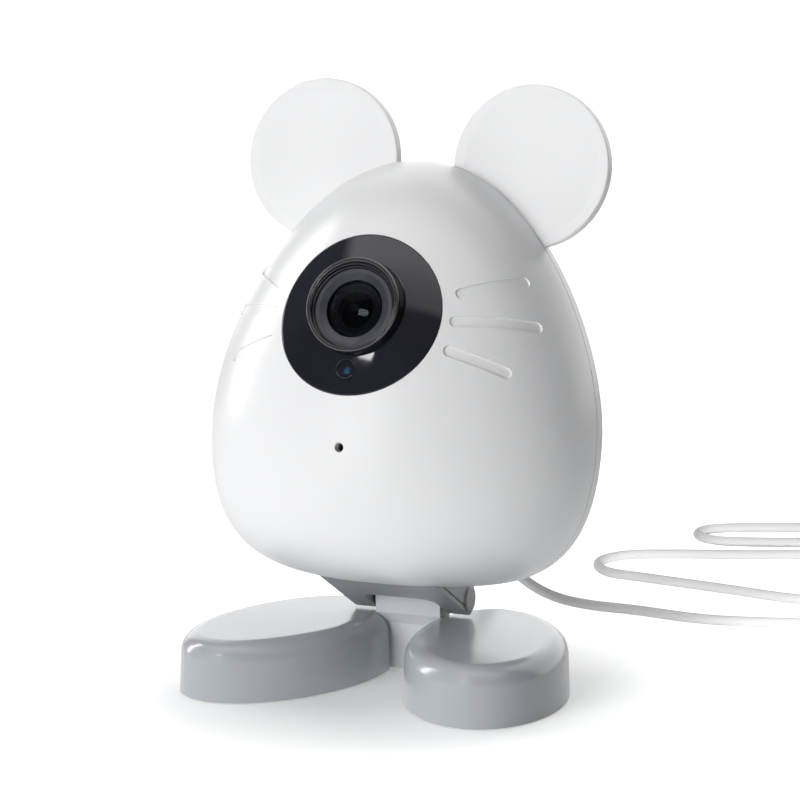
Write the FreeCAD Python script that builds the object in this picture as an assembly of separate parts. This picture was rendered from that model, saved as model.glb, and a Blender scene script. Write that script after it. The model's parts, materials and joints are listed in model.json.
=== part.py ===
import FreeCAD
import Part
import math
import os

# A mouse-shaped indoor pet camera: an egg-shaped head with two round ears, hinged on a stand with two oval feet.
# Millimetres. The origin is on the floor under the middle of the feet. +Z is up and the camera looks along -Y.
# The head is drawn upright, with its hinge axis on the origin, and is then tipped back and set on the hinge.
# The lens parts are drawn along +Z, and are then aimed along the optical axis in the head.

V = FreeCAD.Vector
ORIGIN = V(0, 0, 0)
X_AXIS = V(1, 0, 0)
Y_AXIS = V(0, 1, 0)
Z_AXIS = V(0, 0, 1)

# fits shared by many pieces
seat_gap = 0.1  # between a piece and the pocket it drops into
run_gap = 0.05  # radial clearance of a turning or sliding fit
wall = 2.2  # moulded wall of the shells

# stance
hinge_y = 14.8
hinge_z = 17.0
rest_tilt = 10.0  # degrees that the head leans back at rest

# head outline, heights measured from the underside
body_bottom = 2.7  # underside above the hinge axis
body_height = 92.4
body_half_width = 43.6
body_depth = 37.8  # dome in front of the parting plane
seam_setback = 9.3  # parting plane in front of the hinge axis
widest_height = 33.2
shoulder_height = 55.3
haunch_height = 1.9
crown_half_width = 25.4
crown_depth = 25.2
underside_half_width = 26.0
underside_depth = 24.1

# back cover
cover_depth = 8.0
cover_rounding = 5.0
groove = 0.35  # square shadow gap along the parting line
lip_height = 1.5
lip_thickness = 1.0

# ears
ear_radius = 17.75
ear_inset = 19.2  # middle of the ear from the head's widest side
ear_height = 92.1
ear_thickness = 2.9
ear_rim = 2.5
ear_dish_depth = 1.3
ear_rounding = 0.35

# whisker slots on one side: inner end x, height, outer end x, height
whiskers = [(19.6, 62.7, 30.7, 66.7), (19.5, 57.0, 34.8, 57.0), (19.3, 51.2, 31.9, 46.7)]
whisker_width = 2.4
whisker_depth = 0.5

# case screws: boss places as x and height
case_boss_places = [(30.0, 17.5), (17.0, 77.0)]
boss_radius = 3.0
case_pilot_radius = 1.0
case_pilot_depth = 9.0
counterbore_radius = 2.5
counterbore_depth = 2.2
# screws as shank radius, head radius, head height, shank length
case_screw = (0.95, 2.2, 1.6, 11.0)
board_screw = (0.75, 1.5, 0.9, 3.6)
bracket_screw = (0.95, 1.9, 1.2, 4.4)
plate_screw = (0.9, 1.8, 1.2, 6.0)

# optics, along the optical axis from the front face of the lens barrel
lens_height = 58.6
lens_proud = 1.27  # barrel face in front of the dome
lens_droop = 4.26  # degrees that the optical axis points below the dome's square
barrel_radius = 8.55
barrel_head_length = 7.0
barrel_thread_radius = 6.0
barrel_length = 15.0
glass_radius = 6.2
glass_thickness = 1.2
glass_drop = 0.5
optic_radius = 5.3
optic_thickness = 1.7
optic_spacing = 1.6
optic_count = 3
holder_length = 9.6
holder_half_width = 9.2
holder_half_height = 7.6
filter_slot_height = 1.3
filter_slot_back = 3.4
filter_size = (11.4, 7.0, 0.9)
filter_window_radius = 2.2
filter_travel = 5.4
sensor_board_depth = 19.6
board_thickness = 1.6
sensor_board_side = 26.0
sensor_size = (6.4, 5.4, 1.1)
sensor_margin = 1.0  # round the sensor, inside the lens holder
filter_floor = 0.8

# bezel
bezel_radius = 18.0
bezel_drop = 0.5  # middle of the bezel below the optical axis
bezel_thickness = 1.4
bezel_ledge = 1.6
bezel_edge = 0.3  # rounding of the bezel's rim
collar_radius = 10.3
collar_lift = 0.5  # middle of the collar above the optical axis
collar_front = 1.1
collar_lip = 0.8
collar_step = 0.2  # beside the barrel's bore
collar_rounding = 0.4
collar_gap = 0.2
hub_depth = 6.2
post_circle = 13.9
post_shoulder_radius = 2.0
post_radius = 1.4
lamp_gap = 0.75  # lamps behind the bezel's skin
lamp_angles = [-15, 15, 75, 105, 165, 195]
lamp_circle = 13.4
lamp_radius = 1.5
lamp_height = 2.4
window_drop = 13.1  # light sensor below the optical axis
window_radius = 2.05
window_thickness = 1.0
light_chip = (3.0, 3.0, 1.4)

# microphone
mic_height = 29.4
mic_hole_radius = 1.0
boot_radius = 3.4
boot_length = 4.4
mic_radius = 2.2
mic_thickness = 1.6

# electronics on the back cover
board_half_width = 25.0
board_low = 7.5
board_high = 49.5
board_standoff = 3.9
board_corner = 3.0
board_boss_inset = 3.2
shield_size = (24.0, 20.0, 2.6)
shield_height = 33.0
antenna_size = (6.5, 24.0, 0.4)
antenna_place = (-20.5, 61.0)
ribbon_size = (10.0, 0.3)
ribbon_bend = (4.0, 0.5)  # straight part at each end, and its rise
ribbon_margin = 3.0  # above the shield can
usb_height = 13.3
usb_socket_size = (7.6, 3.0)
usb_reach = 5.2
usb_port_size = (11.2, 7.2)
reset_x = 15.0
reset_height = 13.3
reset_radius = 2.2
reset_flange = 0.8
reset_proud = 0.5
reset_travel = 0.7
switch_size = (4.6, 4.6, 1.9)

# speaker
speaker_height = 67.0
speaker_radius = 13.5
speaker_depth = 3.4
magnet_radius = 7.5
magnet_depth = 3.0
gasket_thickness = 0.5
grille_pitch = 3.3
grille_rings = 3
grille_hole_radius = 0.85

# hinge
hinge_barrel_radius = 3.55
knuckle_radius = 2.9
knuckle_half_width = 7.6
bracket_half_width = 13.5
notch_half_width = 8.35
notch_front = 9.4  # notch in front of the hinge axis
notch_rounding = 3.0
slant_front = (21.8, 1.08)  # bracket's front edge: in front of the axis, above the underside
slant_depth = 3.1  # slanted underside from the hinge axis
cheek_groove = (0.9, 0.35)  # from the slanted underside, and its width and depth
gusset_height = 9.0
pin_radius = 1.25
pin_end_inset = 0.8
washer_radius = 2.7
cap_radius = 2.9
cap_proud = 0.5
bracket_screw_place = (11.2, 5.8)  # x, and in front of the axis
bracket_screw_seat = 1.7  # above the underside

# stand
floor_gap = 0.25  # shells above the floor, on rubber pads
foot_spread = 23.2
foot_half_length = 29.95
foot_half_width = 17.9
foot_splay = 16.0
foot_height = 13.0
foot_draft = 0.5
foot_rounding = 4.4
plate_thickness = 1.8
plate_recess = 0.4
plate_boss_offset = 22.0
plate_boss_radius = 2.9
plate_pilot_radius = 0.95
weight_half_length = 17.0
weight_half_width = 11.0
weight_thickness = 6.0
key_head_radius = 3.6
key_slot_radius = 2.0
key_slot_length = 6.0
weight_clear_radius = 6.6
pad_radius = 3.6
pad_offset = 15.5
bridge_front = 14.0
bridge_back = 20.5
bridge_top = 10.4
bridge_half_width = 12.0
post_front = 12.3

# power plug and strain relief, behind the head
plug_length = 15.0
plug_half_width = 5.2
plug_half_height = 3.2
plug_rounding = 2.4
tongue_size = (6.8, 1.8)
relief_length = 11.0
relief_radii = (2.6, 1.6)

# power cord: free points from the strain relief to the coil, then the coil and the tail to the second plug
cord_radius = 1.25
lay = cord_radius + 0.02  # height of the cord's middle on the floor
route = [
    (0.0, 53.92, 26.35), (1.0, 64.5, 19.0), (3.2, 73.0, 9.6), (8.5, 80.5, 3.6), (16.5, 84.2, lay),
    (29.0, 84.0, lay), (48.0, 79.5, lay), (70.0, 85.5, lay), (92.0, 89.5, lay), (112.0, 91.0, lay),
    (127.0, 101.0, lay), (128.0, 117.0, lay), (114.0, 126.0, lay), (96.0, 121.0, lay),
    (80.0, 111.0, lay), (62.0, 108.5, lay), (43.0, 113.5, lay), (29.5, 116.2, lay),
    (18.5, 118.6, lay), (8.9, 120.2, lay), (2.6, 130.8, lay), (6.4, 142.5, lay), (19.0, 148.0, lay),
    (33.0, 152.8, lay), (48.0, 159.5, lay), (65.0, 164.5, lay), (82.0, 163.5, lay), (97.0, 168.5, lay),
    (104.0, 181.0, lay), (98.0, 194.0, lay), (84.0, 198.5, lay), (71.0, 190.0, lay), (58.0, 180.0, lay),
    (43.0, 173.5, lay), (32.0, 169.2, lay), (22.5, 167.2, lay), (15.8, 172.8, lay), (16.4, 181.5, lay),
    (25.9, 187.4, lay), (40.0, 192.5, lay), (56.0, 200.5, lay), (73.5, 209.8, lay),
]
coil_x = 82.0
coil_y = 233.0
coil_entry = -60.0  # degrees round the coil where the cord joins it
coil_exit = 0.0
coil_columns = 3
coil_layers = 4
coil_middle_radius = 14.9
tie_thickness = 0.6
tie_width = 5.0
tail = [(99.5, 244.5, 7.8), (107.0, 254.0, 5.6), (118.3, 254.8, 4.3), (126.0, 245.2, 4.0)]
second_plug_x = 126.0
second_plug_y = 234.0
second_plug_half_width = 7.8
second_plug_half_height = 4.0
second_plug_length = 25.0
second_shell_size = (12.0, 4.5)
second_shell_length = 12.0

# ---- places worked out from the sizes above ----
seam_y = -seam_setback
rear_y = seam_y + cover_depth
inner_rear_y = rear_y - wall
front_y = seam_y - body_depth
crown_z = body_bottom + body_height
lens_z = body_bottom + lens_height
ear_spread = body_half_width - ear_inset
board_back_y = inner_rear_y - board_standoff
board_front_y = board_back_y - board_thickness
usb_z = body_bottom + usb_height
reset_z = body_bottom + reset_height
speaker_z = body_bottom + speaker_height
mic_z = body_bottom + mic_height
post_angles = [45, 135, 225, 315]
cord_diameter = 2 * cord_radius
far = 3 * body_height  # longer than any cut needs


# ---- small helpers ----
def block(x, y, z):
    """Box from its low and high limits on each axis."""
    return Part.makeBox(x[1] - x[0], y[1] - y[0], z[1] - z[0], V(x[0], y[0], z[0]))


def rod(radius, start, end):
    """Cylinder from one point to another."""
    return Part.makeCylinder(radius, (end - start).Length, start, end - start)


def ring(outer, inner, start, end):
    """Tube from one point to another."""
    return rod(outer, start, end).cut(rod(inner, start, end))


def fuse(first, others):
    """One solid of several that touch or overlap."""
    return first.multiFuse(others)


def prism(points, direction):
    """Solid from a closed outline of points, pushed along a direction."""
    return Part.Face(Part.makePolygon(points + points[:1])).extrude(direction)


def both_sides(shape):
    """A shape and its mirror image across the middle plane."""
    return [shape, shape.mirror(ORIGIN, X_AXIS)]


def screw(size, seat, drive):
    """Cross-head screw whose head rests at seat; drive points from the head to the tip."""
    shank_radius, head_radius, head_height, length = size
    drive = V(drive).normalize()
    top = seat - drive * head_height
    body = fuse(rod(head_radius, top, seat), [rod(shank_radius, seat, seat + drive * length)])
    turn = FreeCAD.Rotation(Z_AXIS, drive)
    for angle in (0, 90):
        slot = Part.makeBox(head_radius * 1.2, head_radius * 0.3, head_height, V(-head_radius * 0.6, -head_radius * 0.15, -head_height / 2))
        slot.rotate(ORIGIN, Z_AXIS, angle)
        slot.Placement = FreeCAD.Placement(top, turn).multiply(slot.Placement)
        body = body.cut(slot)
    return body


def on_head(shape):
    """Tip a shape back with the head and set it on the hinge."""
    shape = shape.copy()
    shape.rotate(ORIGIN, X_AXIS, -rest_tilt)
    shape.translate(V(0, hinge_y, hinge_z))
    return shape


def on_axis(z, radius=0.0, angle=0.0):
    """Point at a height on the optical axis, or at a radius and angle round it."""
    turn = math.radians(angle)
    return V(radius * math.cos(turn), radius * math.sin(turn), z)


def aim(shape):
    """Turn a shape drawn along +Z to the optical axis, with +Y up, at the barrel's front face."""
    face, pitch = lens_stance()
    shape = shape.copy()
    shape.rotate(ORIGIN, X_AXIS, 90 - pitch)
    shape.translate(face)
    return shape


def save(name, *solids):
    """Write a node's solids to its own file."""
    shape = solids[0] if len(solids) == 1 else Part.makeCompound(list(solids))
    found = len(shape.Solids)
    print(f"{name}: {found} solid(s), {shape.Volume:.0f} mm3, valid {shape.isValid()}")
    shape.exportStep(f"parts/{name}.step")


def save_head(name, *solids):
    save(name, *[on_head(solid) for solid in solids])


def save_lens(name, *solids):
    save_head(name, *[aim(solid) for solid in solids])


# ---- head outline ----
def egg_rows(inset):
    """Rows of the dome's net from crown to underside, drawn in by an inset: half width, depth, height."""
    rows = [
        (0, 0, body_height),
        (crown_half_width, crown_depth, body_height),
        (body_half_width, body_depth, shoulder_height),
        (body_half_width, body_depth, haunch_height),
        (underside_half_width, underside_depth, 0),
        (0, 0, 0),
    ]
    across = 1 - inset / body_half_width
    along = 1 - inset / body_depth
    upright = 1 - 2 * inset / body_height
    middle = body_height / 2
    return [
        (width * across, depth * along, body_bottom + middle + (height - middle) * upright)
        for width, depth, height in rows
    ]


def row_knots():
    """Two cubic spans that meet smoothly at the widest height."""
    knee = (shoulder_height - widest_height) / (shoulder_height - haunch_height)
    return [0, knee, 1], [4, 2, 4]


def egg(inset=0.0):
    """Front half of the egg as a solid: every level section is an exact half ellipse."""
    rows = egg_rows(inset)
    half_ellipse = [(1, 0, 1), (1, 2, 1 / 3), (-1, 2, 1 / 3), (-1, 0, 1)]
    poles = [[V(side * w, seam_y - front * d, h) for w, d, h in rows] for side, front, _ in half_ellipse]
    weights = [[weight] * len(rows) for _, _, weight in half_ellipse]
    knots, mults = row_knots()
    surface = Part.BSplineSurface()
    surface.buildFromPolesMultsKnots(poles, [4, 4], mults, [0, 1], knots, False, False, 3, 3, weights)
    dome = surface.toShape()
    edges = [edge for edge in dome.Edges if not edge.Degenerated]
    back = Part.Face(Part.Wire(Part.__sortEdges__(edges)))
    skin = Part.makeShell([dome, back])
    skin.sewShape()
    return Part.makeSolid(skin)


def outline_block(inset, start_y, end_y):
    """The head's front-view outline, drawn in by an inset and pushed along Y."""
    knots, mults = row_knots()
    edges = []
    for side in (1, -1):
        curve = Part.BSplineCurve()
        poles = [V(side * w, start_y, h) for w, _, h in egg_rows(inset)]
        curve.buildFromPolesMultsKnots(poles, mults, knots, False, 3)
        edges.append(curve.toShape())
    face = Part.Face(Part.Wire(Part.__sortEdges__(edges)))
    return face.extrude(V(0, end_y - start_y, 0))


def rounded_block(inset, start_y, end_y, radius):
    """Outline block with its rear edge rounded."""
    solid = outline_block(inset, start_y, end_y)
    rear = [edge for edge in solid.Edges if all(abs(v.Y - end_y) < 1e-6 for v in edge.Vertexes)]
    return solid.makeFillet(radius, rear)


def head_volume():
    """Everything inside the head's outer skin, without the ears."""
    return egg().fuse(rounded_block(0, seam_y, rear_y, cover_rounding))


def front_line():
    """The dome's middle line from crown to underside."""
    knots, mults = row_knots()
    line = Part.BSplineCurve()
    poles = [V(0, seam_y - depth, height) for _, depth, height in egg_rows(0)]
    line.buildFromPolesMultsKnots(poles, mults, knots, False, 3)
    return line


def lens_stance():
    """Middle of the barrel's front face, and the degrees that the optical axis points up in the head."""
    line = front_line()
    low, high = 0.0, 1.0
    for _ in range(40):
        middle = (low + high) / 2
        low, high = (middle, high) if line.value(middle).z > lens_z else (low, middle)
    down = line.tangent(low)[0]
    slope = math.degrees(math.atan2(-down.y, -down.z))
    return V(0, line.value(low).y - lens_proud, lens_z), slope - lens_droop


def skin_depth(radius, angle):
    """Depth of the head's skin behind the barrel's face, at a radius and angle round the optical axis."""
    start = -body_depth / 2
    line = aim(Part.makeLine(on_axis(start, radius, angle), on_axis(body_depth, radius, angle)))
    return -start - line.common(egg()).Length


lamp_board_depth = (
    max(skin_depth(lamp_circle + lamp_radius, angle) for angle in lamp_angles) + bezel_thickness + lamp_height + lamp_gap
)


def case_bosses():
    """Places of the four case screws, as x and height above the hinge axis."""
    return [(side * x, body_bottom + height) for x, height in case_boss_places for side in (1, -1)]


# ---- head shells ----
def on_dome(x, z):
    """Point of the dome at a width and a height, and the way out from there."""
    line = Part.makeLine(V(x, front_y, z), V(x, seam_y, z))
    point = min((corner.Point for corner in egg().common(line).Vertexes), key=lambda found: found.y)
    under = egg(wall).distToShape(Part.Vertex(point))[1][0][0]
    return point, (point - under).normalize()


def whisker_bars():
    """Round-ended bars square to the dome, one for each whisker slot."""
    radius = whisker_width / 2
    reach = wall
    bars = []
    for x0, h0, x1, h1 in whiskers:
        (tip0, out0), (tip1, out1) = on_dome(x0, body_bottom + h0), on_dome(x1, body_bottom + h1)
        along = tip1 - tip0
        start = tip0 + (along - out0 * along.dot(out0)).normalize() * radius
        end = tip1 - (along - out1 * along.dot(out1)).normalize() * radius
        out = (out0 + out1).normalize()
        side = out.cross(end - start).normalize() * radius
        floor = [p - out * reach for p in (start + side, end + side, end - side, start - side)]
        bar = prism(floor, out * (2 * reach))
        ends = [rod(radius, p - way * reach, p + way * reach) for p, way in ((start, out0), (end, out1))]
        bars += both_sides(fuse(bar, ends))
    return bars


def front_shell():
    shell = egg().cut(egg(wall))
    inside = egg(wall / 2)
    bosses = [rod(boss_radius, V(x, front_y, z), V(x, seam_y, z)).common(inside) for x, z in case_bosses()]
    mic_start = V(0, front_y, mic_z)
    mic_end = V(0, front_y + wall + boot_length * 0.7, mic_z)
    bosses.append(ring(boot_radius + seat_gap + 1.0, boot_radius + seat_gap, mic_start, mic_end).common(inside))
    shell = fuse(shell, bosses)
    cuts = [
        rod(case_pilot_radius, V(x, seam_y - case_pilot_depth, z), V(x, seam_y + 1, z)) for x, z in case_bosses()
    ]
    cuts.append(rod(mic_hole_radius, V(0, front_y - 1, mic_z), V(0, front_y + body_depth / 3, mic_z)))
    whisker_floor = egg(whisker_depth)
    cuts += [bar.cut(whisker_floor) for bar in whisker_bars()]
    cuts.append(bezel_rod(bezel_radius, -lamp_board_depth).cut(egg(bezel_thickness)))
    cuts.append(bezel_rod(bezel_radius - bezel_ledge, -body_depth / 3))
    return shell.cut(Part.makeCompound(cuts))


def ear(side):
    """Round disc with a shallow dish in front and softened edges."""
    centre = V(side * ear_spread, seam_y, body_bottom + ear_height)
    disc = Part.makeCylinder(ear_radius, ear_thickness, centre, Y_AXIS)
    disc = disc.makeFillet(ear_rounding, [edge for edge in disc.Edges if len(edge.Vertexes) == 1])
    dish_radius = ear_radius - ear_rim
    ball_radius = (dish_radius**2 + ear_dish_depth**2) / (2 * ear_dish_depth)
    ball = Part.makeSphere(ball_radius, centre + V(0, ear_dish_depth - ball_radius, 0))
    return disc.cut(ball)


def cover_cavity():
    return rounded_block(wall, seam_y, inner_rear_y, cover_rounding - wall)


def port_hole():
    """Round-ended opening for the power plug's nose."""
    radius = usb_port_size[1] / 2
    reach = usb_port_size[0] / 2 - radius
    start, end = inner_rear_y - 1, rear_y + 1
    ends = [rod(radius, V(x, start, usb_z), V(x, end, usb_z)) for x in (-reach, reach)]
    return fuse(block((-reach, reach), (start, end), (usb_z - radius, usb_z + radius)), ends)


def grille_places():
    """Hexagonal pattern of holes, as x and height above the hinge axis."""
    places = [(0, speaker_z)]
    for turn in range(1, grille_rings + 1):
        for corner in range(6):
            a, b = math.radians(60 * corner), math.radians(60 * corner + 120)
            for step in range(turn):
                x = grille_pitch * (turn * math.cos(a) + step * math.cos(b))
                z = grille_pitch * (turn * math.sin(a) + step * math.sin(b))
                places.append((x, speaker_z + z))
    return places


def board_bosses():
    """Places of the main board's screws, as x and height above the hinge axis."""
    x = board_half_width - board_boss_inset
    low = body_bottom + board_low + board_boss_inset
    high = body_bottom + board_high - board_boss_inset
    return [(side * x, z) for z in (low, high) for side in (1, -1)]


def back_cover():
    cavity = cover_cavity()
    ears = [ear(side) for side in (1, -1)]
    shell = fuse(rounded_block(0, seam_y, rear_y, cover_rounding), ears).cut(cavity)
    joint = seam_y + lip_height
    base_ring = outline_block(wall / 2, seam_y, joint).cut(outline_block(wall + lip_thickness, seam_y, joint))
    lip_start = seam_y - lip_height
    lip_outer = outline_block(wall + seat_gap, lip_start, seam_y)
    lip = lip_outer.cut(outline_block(wall + lip_thickness, lip_start, seam_y))
    bosses = [rod(boss_radius, V(x, seam_y, z), V(x, inner_rear_y + wall / 2, z)) for x, z in case_bosses()]
    bosses += [
        rod(boss_radius - 0.6, V(x, board_back_y, z), V(x, inner_rear_y + wall / 2, z)) for x, z in board_bosses()
    ]
    speaker_wall = speaker_radius + seat_gap
    bosses.append(
        ring(speaker_wall + 1.0, speaker_wall, V(0, inner_rear_y - 2.0, speaker_z), V(0, inner_rear_y + wall / 2, speaker_z))
    )
    shell = fuse(shell, [base_ring, lip] + bosses)
    cuts = [rod(grille_hole_radius, V(x, inner_rear_y - 1, z), V(x, rear_y + 1, z)) for x, z in grille_places()]
    cuts.append(port_hole())
    cuts.append(rod(reset_radius + run_gap, V(reset_x, inner_rear_y - 1, reset_z), V(reset_x, rear_y + 1, reset_z)))
    for x, z in case_bosses():
        cuts.append(rod(case_screw[0] + seat_gap, V(x, seam_y - 1, z), V(x, rear_y + 1, z)))
        cuts.append(rod(counterbore_radius, V(x, rear_y - counterbore_depth, z), V(x, rear_y + 1, z)))
    for x, z in board_bosses():
        cuts.append(rod(board_screw[0] + run_gap, V(x, board_back_y - 1, z), V(x, inner_rear_y, z)))
    for seat in bracket_screw_seats():
        cuts.append(rod(bracket_screw[0] + seat_gap, seat - V(0, 0, wall * 2), seat + V(0, 0, wall)))
        cuts.append(rod(bracket_screw[1] + seat_gap, seat, seat + V(0, 0, wall * 2)))
    shadow = outline_block(-groove, seam_y, seam_y + groove)
    cuts.append(shadow.cut(outline_block(groove, seam_y - 1, seam_y + 1)))
    return shell.cut(Part.makeCompound(cuts))


def case_screws():
    seat = rear_y - counterbore_depth
    return [screw(case_screw, V(x, seat, z), V(0, -1, 0)) for x, z in case_bosses()]


# ---- optics, drawn along the optical axis ----
def bezel_rod(radius, low):
    """Cylinder round the bezel's middle, from a depth to in front of the head."""
    return aim(rod(radius, on_axis(low, bezel_drop, -90), on_axis(body_depth / 3, bezel_drop, -90)))


def lens_collar(bore):
    """Raised ring round the lens: a rounded lip and a slope down to the barrel's face."""
    root = max(skin_depth(collar_radius + collar_lift, angle) for angle in range(0, 360, 45)) + bezel_thickness / 2
    body = rod(collar_radius, on_axis(-root, collar_lift, 90), on_axis(collar_front, collar_lift, 90))
    rim = [edge for edge in body.Edges if len(edge.Vertexes) == 1 and edge.CenterOfMass.z > 0]
    body = body.makeFillet(collar_rounding, rim)
    slope = Part.makeCone(bore + collar_step, collar_radius - collar_lip, collar_front, ORIGIN, Z_AXIS)
    body = body.cut(slope)
    return aim(body)


def lens_bezel():
    inside = egg(bezel_thickness / 2)
    hub_radius = barrel_radius + collar_gap
    skin = bezel_rod(bezel_radius - seat_gap, -lamp_board_depth).common(egg()).cut(egg(bezel_thickness))
    rims = [edge for edge in skin.Edges if edge.Length > bezel_radius]
    skin = skin.makeFillet(bezel_edge, [min(rims, key=lambda edge: edge.CenterOfMass.y)])
    hub = aim(rod(hub_radius + 1.0, on_axis(-hub_depth), on_axis(0))).common(inside)
    posts = []
    for angle in post_angles:
        shoulder = rod(post_shoulder_radius, on_axis(-lamp_board_depth, post_circle, angle), on_axis(0, post_circle, angle))
        stem = rod(post_radius, on_axis(-sensor_board_depth, post_circle, angle), on_axis(-2, post_circle, angle))
        posts.append(aim(shoulder.fuse(stem)).common(inside))
    bezel = fuse(skin, [lens_collar(hub_radius), hub] + posts)
    cuts = [aim(rod(hub_radius, on_axis(-hub_depth - 1), on_axis(body_depth / 3)))]
    cuts.append(aim(rod(window_radius + run_gap, on_axis(-lamp_board_depth, window_drop, -90), on_axis(9, window_drop, -90))))
    pilot = board_screw[0] + run_gap
    for angle in post_angles:
        start = on_axis(-sensor_board_depth - 1, post_circle, angle)
        cuts.append(aim(rod(pilot, start, start + V(0, 0, board_screw[3] + 1))))
    return bezel.cut(Part.makeCompound(cuts))


def sensor_window():
    """Clear round window, flush with the bezel."""
    plug = aim(rod(window_radius, on_axis(-lamp_board_depth, window_drop, -90), on_axis(9, window_drop, -90)))
    return plug.common(egg()).cut(egg(window_thickness))


def lens_barrel():
    head = rod(barrel_radius, on_axis(-barrel_head_length), on_axis(0))
    thread = rod(barrel_thread_radius, on_axis(-barrel_length), on_axis(-barrel_head_length))
    glass_seat = -glass_drop - glass_thickness
    barrel = head.fuse(thread).cut(rod(optic_radius + run_gap, on_axis(-barrel_length + 1), on_axis(1)))
    barrel = barrel.cut(rod(filter_window_radius + 1, on_axis(-barrel_length - 1), on_axis(1)))
    barrel = barrel.cut(rod(glass_radius + run_gap, on_axis(glass_seat), on_axis(1)))
    flare = Part.makeCone(glass_radius + run_gap, barrel_radius - 0.8, glass_drop + 0.01, on_axis(-glass_drop), Z_AXIS)
    return barrel.cut(flare)


def bowed_disc(radius, middle, edge, base):
    """Disc from base upward whose front bulges from its edge height to its middle height."""
    sagitta = middle - edge
    ball_radius = (radius**2 + sagitta**2) / (2 * sagitta)
    ball = Part.makeSphere(ball_radius, on_axis(base + middle - ball_radius))
    return rod(radius, on_axis(base), on_axis(base + middle)).common(ball)


def front_glass():
    base = -glass_drop - glass_thickness
    return bowed_disc(glass_radius, glass_thickness + glass_drop * 0.8, glass_thickness * 0.75, base)


def optic_stack():
    """Lens elements and the rings between them, from the front glass inwards."""
    elements, spacers = [], []
    top = -glass_drop - glass_thickness
    for index in range(optic_count):
        spacers.append(ring(optic_radius, optic_radius - 1.4, on_axis(top - optic_spacing), on_axis(top)))
        top -= optic_spacing
        elements.append(bowed_disc(optic_radius, optic_thickness, optic_thickness * 0.8, top - optic_thickness))
        top -= optic_thickness
    spacers.append(ring(optic_radius, optic_radius - 1.4, on_axis(-barrel_length + 1), on_axis(top)))
    return elements, spacers


def lens_holder():
    base = -sensor_board_depth
    top = base + holder_length
    x, y = holder_half_width, holder_half_height
    foot_top = base + filter_slot_back + filter_slot_height + 1.2
    body = block((-x, x), (-y, y), (base, foot_top)).fuse(
        rod(barrel_thread_radius + 1.4, on_axis(foot_top), on_axis(top))
    )
    room_x, room_y = sensor_size[0] / 2 + sensor_margin, sensor_size[1] / 2 + sensor_margin
    sensor_room = block((-room_x, room_x), (-room_y, room_y), (base, base + filter_slot_back - filter_floor))
    slot_low = base + filter_slot_back
    slot_y = filter_size[1] / 2 + seat_gap
    slot = block((-x + 0.6, x - 0.6), (-slot_y, slot_y), (slot_low, slot_low + filter_slot_height))
    bore = rod(barrel_thread_radius + run_gap, on_axis(-barrel_length - 0.2), on_axis(top + 1))
    light_path = rod(filter_window_radius + 0.4, on_axis(base + 0.5), on_axis(top))
    return body.cut(Part.makeCompound([sensor_room, slot, bore, light_path]))


def ir_cut_filter():
    """Sliding frame with a filter window over the sensor and a clear one beside it."""
    length, width, thickness = filter_size
    low = -sensor_board_depth + filter_slot_back + (filter_slot_height - thickness) / 2
    left = -holder_half_width + 0.6 + seat_gap
    frame = block((left, left + length), (-width / 2, width / 2), (low, low + thickness))
    frame = frame.cut(rod(filter_window_radius, on_axis(low - 1), on_axis(low + thickness + 1)))
    clear = V(-filter_travel, 0, low)
    frame = frame.cut(rod(filter_window_radius, clear - V(0, 0, 1), clear + V(0, 0, thickness + 1)))
    pane = rod(filter_window_radius, on_axis(low + thickness * 0.3), on_axis(low + thickness * 0.7))
    return frame.fuse(pane)


def sensor_board():
    half = sensor_board_side / 2
    back = -sensor_board_depth - board_thickness
    board = block((-half, half), (-half, half), (back, -sensor_board_depth))
    holes = [
        rod(board_screw[0] + seat_gap, on_axis(back - 1, post_circle, a), on_axis(1, post_circle, a)) for a in post_angles
    ]
    return board.cut(Part.makeCompound(holes))


def sensor_screws():
    back = -sensor_board_depth - board_thickness
    return [screw(board_screw, on_axis(back, post_circle, a), Z_AXIS) for a in post_angles]


def image_sensor():
    x, y, height = sensor_size
    return block((-x / 2, x / 2), (-y / 2, y / 2), (-sensor_board_depth, -sensor_board_depth + height))


def lamp_board():
    top = -lamp_board_depth
    outer = bezel_radius - bezel_drop - bezel_ledge - 2 * seat_gap
    board = ring(outer, barrel_radius + collar_gap + 1.0 + seat_gap, on_axis(top - board_thickness), on_axis(top))
    holes = [
        rod(post_radius + seat_gap, on_axis(top - board_thickness - 1, post_circle, a), on_axis(top + 1, post_circle, a))
        for a in post_angles
    ]
    return board.cut(Part.makeCompound(holes))


def lamps():
    base = -lamp_board_depth
    solids = []
    for angle in lamp_angles:
        stem = rod(lamp_radius, on_axis(base, lamp_circle, angle), on_axis(base + lamp_height, lamp_circle, angle))
        ends = [edge for edge in stem.Edges if len(edge.Vertexes) == 1 and edge.CenterOfMass.z > base + lamp_height / 2]
        solids.append(stem.makeFillet(lamp_radius * 0.6, ends))
    return solids


def light_sensor():
    x, y, height = light_chip
    middle = on_axis(-lamp_board_depth, window_drop, -90)
    return block(
        (middle.x - x / 2, middle.x + x / 2), (middle.y - y / 2, middle.y + y / 2), (middle.z, middle.z + height)
    )


# ---- microphone ----
def mic_boot():
    end_y = front_y + wall + boot_length
    body = rod(boot_radius, V(0, front_y, mic_z), V(0, end_y, mic_z)).common(egg(wall + run_gap))
    body = body.cut(rod(mic_hole_radius * 0.8, V(0, front_y, mic_z), V(0, end_y, mic_z)))
    return body.cut(rod(mic_radius + run_gap, V(0, end_y - mic_thickness, mic_z), V(0, end_y, mic_z)))


def microphone():
    end_y = front_y + wall + boot_length
    return rod(mic_radius, V(0, end_y - mic_thickness, mic_z), V(0, end_y, mic_z))


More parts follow.
